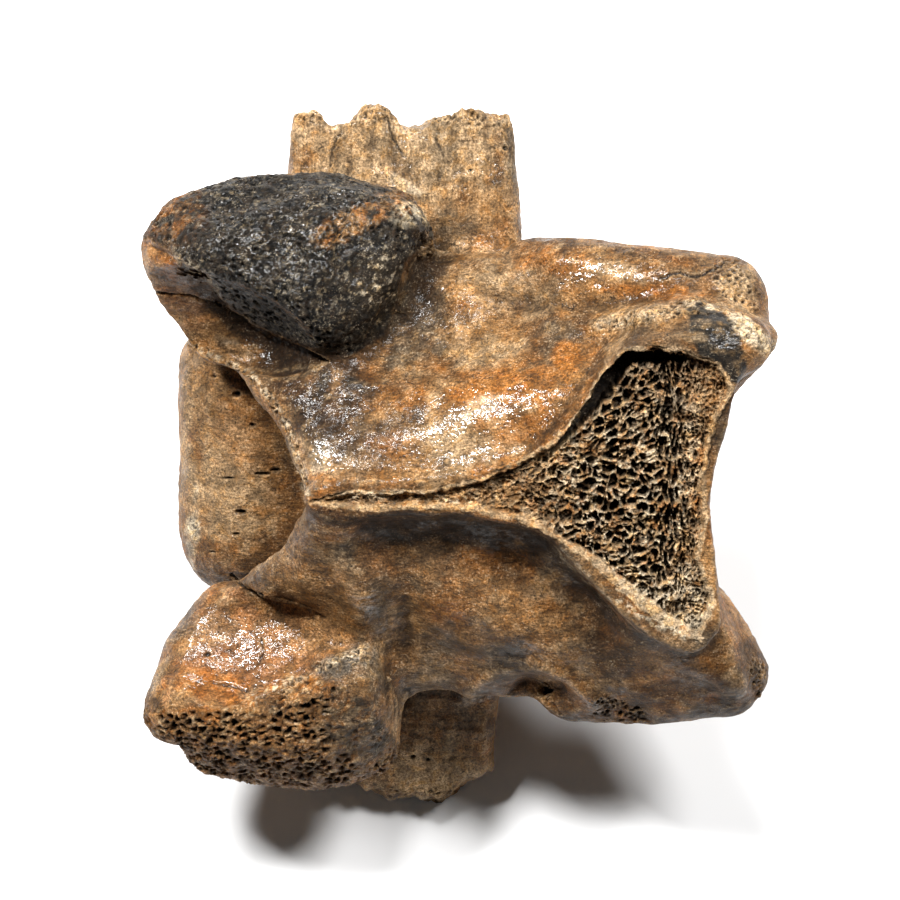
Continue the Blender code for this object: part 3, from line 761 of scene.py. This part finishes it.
def open_marks(surface):
    """Cuts the cracks and the small holes. Returns how dark each makes a point, as painted shade inside
    it.
    """
    own = surface.own
    height = np.zeros(len(own))
    dark = np.zeros(len(own))
    shown = surface.up > 0.1
    shake = 1.6 * lumps(own, 2.0)
    for line, half_width in CRACKS:
        away = np.abs(away_from(line, surface.pixels + shake[:, None])) / PIXELS_PER_MM
        share = shown * (1 - ramp(away, 0.5 * half_width, half_width + 0.28))
        height -= 0.5 * share
        dark = np.maximum(dark, min(0.85, 0.4 + 3 * half_width) * share)
    for middle, half_widths, depth in HOLES:
        away = np.hypot(*((surface.pixels - middle) / np.array(half_widths)).T) + 0.15 * shake
        share = shown * (1 - ramp(away, 0.5, 1.15))
        height -= depth * share
        if depth > 0:
            dark = np.maximum(dark, share)
    surface.raise_by(height)
    return dark


def curvature(mesh, points, normals):
    """How far each point stands out from its neighbours' middle, in mm."""
    middles = neighbour_middles(mesh, points / MM, 3)
    return np.einsum("ij,ij->i", points / MM - middles, normals)


def lay(tones, stain_and_painted_light, share):
    """Mixes a colour, stain and painted light alike, into the tones by a share at each point."""
    share = np.clip(share, 0, 1)[:, None]
    return tones * (1 - share) + stain_and_painted_light * share


def lay_all(tones, whole, layers):
    """Mixes colours in one after the other, stains and painted shade alike, each by its share of the
    whole.
    """
    for stain_and_painted_light, share in layers:
        tones = lay(tones, stain_and_painted_light, whole * share)
    return tones


def base_tones(own):
    """Tan and brown bone with soft orange and dark clouds, on all sides."""
    tones = np.tile(BROWN, (len(own), 1))
    tones = lay(tones, TAN, ramp(lumps(own + 11, 12), -0.35, 0.45))
    tones = lay(tones, ORANGE, 0.45 * ramp(lumps(own + 23, 12, 5), 0.05, 0.5))
    tones = lay(tones, PALE, 0.5 * ramp(lumps(own + 37, 10), 0.15, 0.6))
    tones = lay(tones, DARK_BROWN, 0.6 * ramp(lumps(own + 51, 11), 0.1, 0.6))
    return lay(tones, GREY, 0.45 * ramp(lumps(own + 67, 17), 0.2, 0.6))


def lay_stains_shade_and_highlights(tones, surface):
    """The stains, painted shade and painted highlights of the side that faces the camera, with uneven
    edges.
    """
    shown = ramp(surface.up, 0.0, 0.3)
    uneven = 0.6 * lumps(surface.own + 3, 5, 5)
    for stain_and_painted_light, middle, half_widths, turn, strength in STAINS_SHADE_AND_HIGHLIGHTS:
        c, s = math.cos(math.radians(turn)), math.sin(math.radians(turn))
        x, y = (surface.pixels - middle).T
        away = np.hypot((x * c + y * s) / half_widths[0], (y * c - x * s) / half_widths[1])
        near = away < 2
        share = np.zeros(len(away))
        share[near] = strength * (1 - ramp(away[near] + uneven[near], 0.5, 1.15))
        tones = lay(tones, stain_and_painted_light, share * shown)
    return tones


def paint_right_top(tones, surface, right, deep):
    """The black stained top of the right front process, browner at its two ends, with painted shade in
    its grooves.
    """
    own, pixels = surface.own, surface.pixels
    mottle = lumps(own + 80, 2.2, 5)
    fine = lumps(own + 95, 1.1, 4)
    brown_end = in_patch(TOP_BROWN_END, pixels, 0.4, 1.2)
    strip = 1 - ramp(away_from(TOP_BROWN_STRIP, pixels) + 6 * mottle, 8, 18)
    scuffs_and_glints = in_patch(TOP_SCUFFS_AND_GLINTS, pixels, 0.4, 1.1)
    return lay_all(tones, right, [
        (CHARCOAL, 0.97),
        (BLACK, ramp(mottle, -0.5, 0.3)),
        (BROWN, brown_end * ramp(mottle, -0.2, 0.35) * 0.8),
        (TAN, strip * ramp(mottle + fine, -0.5, 0.4) * 0.85),
        (ORANGE, np.maximum(0.7 * brown_end, strip) * ramp(lumps(own + 90, 2.5), 0.1, 0.5) * 0.55),
        (CREAM, in_patch(TOP_TIP, pixels, 0.4, 1.2) * ramp(mottle, -0.4, 0.2) * 0.8),
        (GREY, scuffs_and_glints * ramp(mottle, -0.3, 0.5) * 0.7),
        (BLUE_GREY, ramp(fine, 0.2, 0.6) * 0.2 * (1 - deep)),
        # Cream specks: scuffs that are partly painted glints of the varnish.
        (CREAM, ramp(fine + 0.5 * mottle, 0.3, 0.7) * (0.14 + 0.6 * scuffs_and_glints) * (1 - deep)),
        # Painted shade in the grooves.
        (BLACK, deep * 0.9),
    ])


def paint_left_band(tones, surface, left, deep):
    """The bare spongy band under the left joint face, with painted shade in its open cells."""
    own, pixels = surface.own, surface.pixels
    mottle = lumps(own + 80, 2.0, 5)
    heel = in_patch(HEEL, pixels, 0.6, 1.2)
    upper = 1 - ramp(inside_by(LEFT_BAND, pixels), 4, 22)
    return lay_all(tones, left, [
        (BROWN, 0.95),
        (TAN, ramp(mottle, -0.3, 0.4) * 0.9),
        (ORANGE, (0.2 + 0.6 * upper) * ramp(lumps(own + 90, 3), -0.1, 0.4)),
        (PALE, ramp(lumps(own + 44, 1.6), 0.2, 0.55) * 0.85),
        (GREY, heel * ramp(mottle, -0.7, 0.2) * 0.8),
        (CHARCOAL, heel * ramp(lumps(own + 21, 4), -0.1, 0.4) * 0.7),
        # Painted shade in the open cells.
        (BLACK, deep),
    ])


def paint_spine_break(tones, surface, spongy, deep, edge):
    """Cream and tan walls of the spongy cells, painted dark inside as shade, browner to the rear and the
    front.
    """
    own = surface.own
    mottle = lumps(own + 80, 2.5, 4)
    low = ramp(-own[:, 1], 8, 16)
    deep = deep * (1 - 0.35 * low) * (1 - 0.3 * ramp(own[:, 0], 40, 46))
    tones = lay_all(tones, spongy, [
        (PALE, 1),
        (CREAM, ramp(mottle, -0.4, 0.3) * 0.9 * (1 - ramp(np.abs(own[:, 0] - 32), 10, 18))),
        (TAN, ramp(lumps(own + 15, 3), 0.0, 0.4) * 0.8),
        (ORANGE, ramp(lumps(own + 90, 2.2), 0.2, 0.45) * 0.6),
        (TAN, ramp(own[:, 0], 40, 46) * ramp(mottle, -0.5, 0.5) * 0.5),
        (CREAM, low * ramp(mottle, -0.7, 0.1) * 0.8),
        (BROWN, ramp(own[:, 1], 16, 28) * ramp(mottle, -0.4, 0.4) * 0.7),
        (BROWN, ramp(-own[:, 0], -20, -6) * ramp(mottle, -0.4, 0.5) * 0.75),
        (BLUE_GREY, ramp(lumps(own + 50, 3), 0.35, 0.6) * 0.4),
        # Painted shade: darker the deeper a point lies in a cell or in the gap by the rim.
        (DARK_BROWN, ramp(deep, 0.2, 0.55) * 0.8),
        (BLACK, ramp(deep, 0.6, 1.0) * 0.9),
    ])
    return lay(tones, PALE, edge * ramp(mottle, -0.6, 0.4) * 0.8)


def lay_dirt_and_shade_edges(tones, surface):
    """Dirt and painted shade along the foot of edges and under crests."""
    shown = ramp(surface.up, 0.0, 0.3)
    uneven = lumps(surface.own + 71, 3, 5)
    for line, half_width, strength in DIRT_AND_SHADE_EDGES:
        near = 1 - ramp(away_from(line, surface.pixels) / half_width + 0.5 * uneven, 0.3, 1.3)
        tones = lay(tones, DARK_BROWN, near * shown * strength)
    return tones


def lay_flecks(tones, surface):
    """Cream flecks along the worn edges."""
    shown = ramp(surface.up, 0.0, 0.3)
    flecks = lumps(surface.own + 33, 1.5, 4)
    for line in FLECKED_EDGES:
        near = 1 - ramp(away_from(line, surface.pixels) + 4 * flecks, 2, 8)
        tones = lay(tones, CREAM, near * shown * ramp(flecks, -0.1, 0.3) * 0.75)
    return tones


def paint(surface, right, left, pitted, spongy, deep, edge, dark):
    """The colour of each point, its stains with painted shade and highlights laid in, as linear light.
    """
    own = surface.own
    tones = lay_stains_shade_and_highlights(base_tones(own), surface)
    x, y, z = own.T
    # Painted shade inside the vertebral canal, darkest midway along it.
    in_canal = (np.abs(x) < 40) & (np.abs(y) < 16) & (z > 0.5) & (z < 22)
    tones = lay(tones, DARK_BROWN, 0.5 * in_canal * (1 - ramp(np.abs(x), 20, 40)))
    tones = paint_right_top(tones, surface, right, pitted)
    tones = paint_left_band(tones, surface, left, pitted)
    tones = paint_spine_break(tones, surface, spongy, deep, edge)
    # Dirt and painted shade along edges, left off the spongy break.
    tones = lay_dirt_and_shade_edges(tones, surface) * (1 - spongy[:, None]) + tones * spongy[:, None]
    tones = lay_flecks(tones, surface)
    knob = ramp(inside_by(KNOB_PATCH, surface.pixels) + 5 * lumps(own, 2.5, 4), -2, 3)
    knob *= ramp(surface.up, -0.2, 0.1) * (1 - spongy)
    tones = lay(tones, CHARCOAL, 0.97 * knob)
    tones = lay(tones, BLACK, 0.6 * knob * ramp(lumps(own + 8, 2.5, 4), -0.3, 0.3))
    ends = ramp(np.abs(y), 64, 68) * (z < 0)
    tones = lay(tones, PALE, 0.6 * ends * ramp(lumps(own, 3), -0.4, 0.3))
    bend = curvature(surface.mesh, surface.points, surface.normals)
    plain = (1 - spongy) * (1 - right) * (1 - left)
    tones = lay(tones, PALE, 0.4 * ramp(bend, 0.03, 0.12) * plain)
    # Darker where the surface bends inwards: painted shade in creases and hollows.
    tones = lay(tones, DARK_BROWN, 0.6 * ramp(-bend, 0.02, 0.12) * plain)
    # Cracks, holes and worn pits painted black: painted shade.
    return lay(tones, BLACK, dark) * DARKENING


def varnish(surface, spongy, right, left):
    """How thick the varnish is at each point, from 0 to 1."""
    thick = 0.12 + 0.3 * lumps(surface.own + 6, 9)
    shown = ramp(surface.up, 0.1, 0.5)
    for patch in VARNISH:
        thick += 0.9 * shown * in_patch(patch, surface.pixels, 0.3, 1.3)
    return np.clip(thick * (1 - 0.8 * spongy) * (1 - 0.6 * left) * (1 - 0.65 * right), 0, 1)


class Tree:
    """Builds the nodes of one material."""

    def __init__(self, name):
        self.material = bpy.data.materials.new(name)
        self.material.use_nodes = True
        self.tree = self.material.node_tree
        self.shader = self.tree.nodes["Principled BSDF"]

    def node(self, kind, inputs=(), **settings):
        made = self.tree.nodes.new("ShaderNode" + kind)
        for key, value in settings.items():
            setattr(made, key, value)
        for key, value in dict(inputs).items():
            self.put(made.inputs[key], value)
        return made

    def put(self, socket, value):
        if isinstance(value, bpy.types.NodeSocket):
            self.tree.links.new(value, socket)
        else:
            socket.default_value = value

    def attribute(self, name, output="Fac"):
        return self.node("Attribute", attribute_name=name).outputs[output]

    def scaled(self, vector, scale):
        return self.node("VectorMath", {0: vector, 1: scale}, operation="MULTIPLY").outputs[0]

    def noise(self, vector, scale, detail, rough=0.6, distortion=0.0):
        inputs = {"Vector": vector, "Scale": scale, "Detail": detail}
        inputs.update({"Roughness": rough, "Distortion": distortion})
        return self.node("TexNoise", inputs).outputs["Fac"]

    def between(self, value, low, high, to_low=0.0, to_high=1.0):
        inputs = {"Value": value, "From Min": low, "From Max": high, "To Min": to_low, "To Max": to_high}
        return self.node("MapRange", inputs, interpolation_type="SMOOTHSTEP").outputs[0]

    def math(self, operation, first, second):
        return self.node("Math", {0: first, 1: second}, operation=operation).outputs[0]

    def times(self, first, second):
        return self.math("MULTIPLY", first, second)

    def tinted(self, kind, share, first, second):
        mixed = self.node("Mix", data_type="RGBA", blend_type=kind, clamp_result=False)
        self.put(mixed.inputs[0], share)
        self.put(mixed.inputs[6], first)
        self.put(mixed.inputs[7], second)
        return mixed.outputs[2]


def opaque(stain_and_painted_light):
    return (*map(float, stain_and_painted_light), 1.0)


def bone_material():
    """Old varnished bone: stains and painted light, fine grain, pores, hairline cracks, an uneven shine.
    """
    made = Tree("fossil_bone_looks")
    place = made.scaled(made.node("TexCoord").outputs["Object"], (1000, 1000, 1000))
    across = made.attribute("across")
    along_x = made.noise(made.scaled(place, (0.55, 1.7, 1.7)), 1.0, 4, 0.7)
    along_y = made.noise(made.scaled(place, (2.0, 0.28, 2.0)), 1.0, 4, 0.7)
    mixed = made.node("Mix", data_type="FLOAT")
    made.put(mixed.inputs[0], across)
    made.put(mixed.inputs[2], along_x)
    made.put(mixed.inputs[3], along_y)
    grain = mixed.outputs[0]
    clouds = made.noise(place, 0.3, 4, 0.65)
    specks = made.noise(place, 2.2, 4, 0.8)
    flecks = made.noise(made.scaled(place, (0.7, 1.0, 1.0)), 1.05, 5, 0.8, 0.4)
    stain_and_painted_light = made.attribute("stain_and_painted_light", "Color")
    tone = made.between(clouds, 0.38, 0.64, 0.66, 1.3)
    tone = made.times(tone, made.between(specks, 0.36, 0.64, 0.45, 1.48))
    tone = made.times(tone, made.between(grain, 0.36, 0.64, 0.72, 1.26))
    tone = made.node("CombineColor", dict.fromkeys(range(3), tone)).outputs[0]
    toned = made.tinted("MULTIPLY", 1.0, stain_and_painted_light, tone)
    ochre = made.between(made.noise(place, 0.42, 5, 0.7, 0.6), 0.47, 0.62, 0.0, 0.75)
    toned = made.tinted("MIX", ochre, toned, made.tinted("MULTIPLY", 1.0, toned, (1.12, 0.92, 0.6, 1)))
    shade = made.between(made.noise(place, 0.2, 2), 0.4, 0.56)
    shade = made.times(made.between(flecks, 0.55, 0.6), shade)
    toned = made.tinted("MIX", made.times(shade, 0.75), toned, opaque(DARK_BROWN * DARKENING))
    drift = made.node("TexNoise", {"Vector": place, "Scale": 0.25, "Detail": 2}).outputs["Color"]
    drift = made.scaled(drift, (3.5, 3.5, 3.5))
    bent = made.node("VectorMath", {0: place, 1: drift}, operation="ADD").outputs[0]
    slabs = {"Vector": made.scaled(bent, (0.8, 1.4, 1.2)), "Scale": 0.2}
    cells = made.node("TexVoronoi", slabs, feature="DISTANCE_TO_EDGE")
    line = made.between(cells.outputs["Distance"], 0.003, 0.012, 1.0, 0.0)
    cracks = made.times(line, made.between(made.noise(place, 0.15, 3), 0.54, 0.6))
    dots = made.node("TexVoronoi", {"Vector": bent, "Scale": 0.75}, feature="F1").outputs["Distance"]
    pores = made.between(made.noise(place, 0.5, 3), 0.5, 0.6)
    pores = made.times(made.between(dots, 0.12, 0.24, 1.0, 0.0), pores)
    dirt = made.math("MAXIMUM", cracks, pores)
    toned = made.tinted("MIX", made.times(dirt, 0.75), toned, opaque(BLACK * DARKENING))
    dust = made.between(made.noise(place, 2.2, 3, 0.8), 0.57, 0.66)
    dust = made.times(dust, made.between(clouds, 0.42, 0.6))
    toned = made.tinted("MIX", made.times(dust, 0.45), toned, opaque(CREAM * DARKENING))
    shine = made.between(made.noise(place, 0.8, 4, 0.7), 0.38, 0.6)
    height = made.times(grain, 0.36)
    height = made.math("ADD", height, made.times(specks, 0.34))
    height = made.math("ADD", height, made.times(clouds, 0.5))
    bump = made.node("Bump", {"Height": height, "Strength": 1.0, "Distance": MM}).outputs[0]
    ripples = made.times(made.noise(place, 1.1, 2), 0.22)
    film = made.node("Bump", {"Height": ripples, "Strength": 1.0, "Distance": MM}).outputs[0]
    looks = {
        "Base Color": toned,
        "Roughness": made.between(specks, 0.36, 0.64, 0.4, 0.62),
        "Specular IOR Level": BONE_GLOSS,
        "Coat Weight": made.times(made.attribute("varnish"), shine),
        "Coat Roughness": VARNISH_ROUGHNESS,
        "Coat IOR": VARNISH_IOR,
        "Normal": bump,
        "Coat Normal": film,
    }
    for name, value in looks.items():
        made.put(made.shader.inputs[name], value)
    return made.material


def split_piece(mesh, keep, name, values):
    """A piece of the fine mesh: the faces to keep, with the whole mesh's normals along its edges."""
    totals = np.empty(len(mesh.polygons), np.int32)
    mesh.polygons.foreach_get("loop_total", totals)
    corners = np.empty(len(mesh.loops), np.int32)
    mesh.loops.foreach_get("vertex_index", corners)
    kept_corners = corners[np.repeat(keep, totals)]
    kept_totals = totals[keep]
    used, renumbered = np.unique(kept_corners, return_inverse=True)
    starts = np.concatenate(([0], np.cumsum(kept_totals)[:-1])).astype(np.int32)
    made = bpy.data.meshes.new(name)
    made.vertices.add(len(used))
    made.vertices.foreach_set("co", vertex_values(mesh, "co")[used].reshape(-1))
    made.loops.add(len(kept_corners))
    made.loops.foreach_set("vertex_index", renumbered.astype(np.int32).reshape(-1))
    made.polygons.add(len(kept_totals))
    made.polygons.foreach_set("loop_start", starts)
    made.polygons.foreach_set("use_smooth", np.ones(len(kept_totals), bool))
    made.update(calc_edges=True)
    for value_name, value in values.items():
        if value.ndim == 2:
            layer = made.attributes.new(value_name, "FLOAT_COLOR", "POINT")
            solid = np.column_stack((value[used], np.ones(len(used))))
            layer.data.foreach_set("color", solid.reshape(-1))
        else:
            layer = made.attributes.new(value_name, "FLOAT", "POINT")
            layer.data.foreach_set("value", value[used])
    made.normals_split_custom_set_from_vertices(vertex_values(mesh, "normal")[used])
    return new_object(name, made)


def finish_piece(piece, material):
    piece.data.materials.append(material)
    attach(piece, "root")
    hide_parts("vertebra")


def build_bone():
    fine = fine_copy(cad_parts["vertebra"])
    refine(fine)
    surface = Surface(fine.data)
    shape_ends(surface)
    weather(surface)
    blend_creases(surface)
    shape_forms(surface)
    undercut(surface)
    deep, edge, spongy = carve_spine_break(surface)
    right, left, pitted = pit(surface)
    # Cracks, holes and worn pits are painted dark inside: painted shade.
    dark = np.maximum(open_marks(surface), 0.7 * wear(surface) * (1 - spongy))
    values = {
        "stain_and_painted_light": paint(surface, right, left, pitted, spongy, deep, edge, dark),
        "varnish": varnish(surface, spongy, right, left),
        "across": ramp(np.abs(surface.own[:, 1]), 44, 56) * (surface.own[:, 2] < 4),
    }
    middles, normals = face_middles(fine.data)
    own = own_from_frame(middles)
    broken = on_break(own, 0.8)
    front = own[:, 0] < -6
    right_side = own[:, 1] > 0
    material = bone_material()
    pieces = (
        ("spine_spongy_face", broken),
        ("bone_front_right", ~broken & front & right_side),
        ("bone_front_left", ~broken & front & ~right_side),
        ("bone_rear_right", ~broken & ~front & right_side),
        ("bone_rear_left", ~broken & ~front & ~right_side),
    )
    for name, keep in pieces:
        finish_piece(split_piece(fine.data, keep, name, values), material)
    bpy.data.objects.remove(fine)


def add_camera():
    camera = new_object("camera", bpy.data.cameras.new("camera"))
    camera.data.lens = CAMERA_LENS
    camera.data.sensor_width = CAMERA_SENSOR
    camera.data.clip_start = 0.01
    camera.location = camera_place()
    camera.rotation_mode = "QUATERNION"
    camera.rotation_quaternion = Vector(-camera_axes()[2]).to_track_quat("-Z", "Y")
    bpy.context.scene.camera = camera


def add_softbox(name, place, side, power):
    lamp = bpy.data.lights.new(name, "AREA")
    lamp.shape = "RECTANGLE"
    lamp.size = lamp.size_y = side
    lamp.energy = power
    obj = new_object(name, lamp)
    obj.location = place
    obj.rotation_mode = "QUATERNION"
    obj.rotation_quaternion = (Vector(LIGHT_TARGET) - Vector(place)).to_track_quat("-Z", "Y")


def add_lights():
    for softbox in SOFTBOXES:
        add_softbox(*softbox)
    world = bpy.data.worlds.new("studio")
    bpy.context.scene.world = world
    world.use_nodes = True
    background = world.node_tree.nodes["Background"]
    background.inputs["Color"].default_value = (1, 1, 1, 1)
    background.inputs["Strength"].default_value = SURROUND_LIGHT


def add_floor():
    form = bmesh.new()
    bmesh.ops.create_grid(form, x_segments=4, y_segments=4, size=FLOOR_HALF_SIDE)
    mesh = bpy.data.meshes.new("floor")
    form.to_mesh(mesh)
    form.free()
    floor = new_object("floor", mesh)
    material = bpy.data.materials.new("floor_paint")
    material.use_nodes = True
    shader = material.node_tree.nodes["Principled BSDF"]
    shader.inputs["Base Color"].default_value = (FLOOR_TONE, FLOOR_TONE, FLOOR_TONE, 1)
    shader.inputs["Roughness"].default_value = FLOOR_ROUGHNESS
    mesh.materials.append(material)


def main():
    add_camera()
    add_lights()
    add_floor()
    build_bone()
    bpy.context.scene.view_settings.view_transform = "Standard"


main()
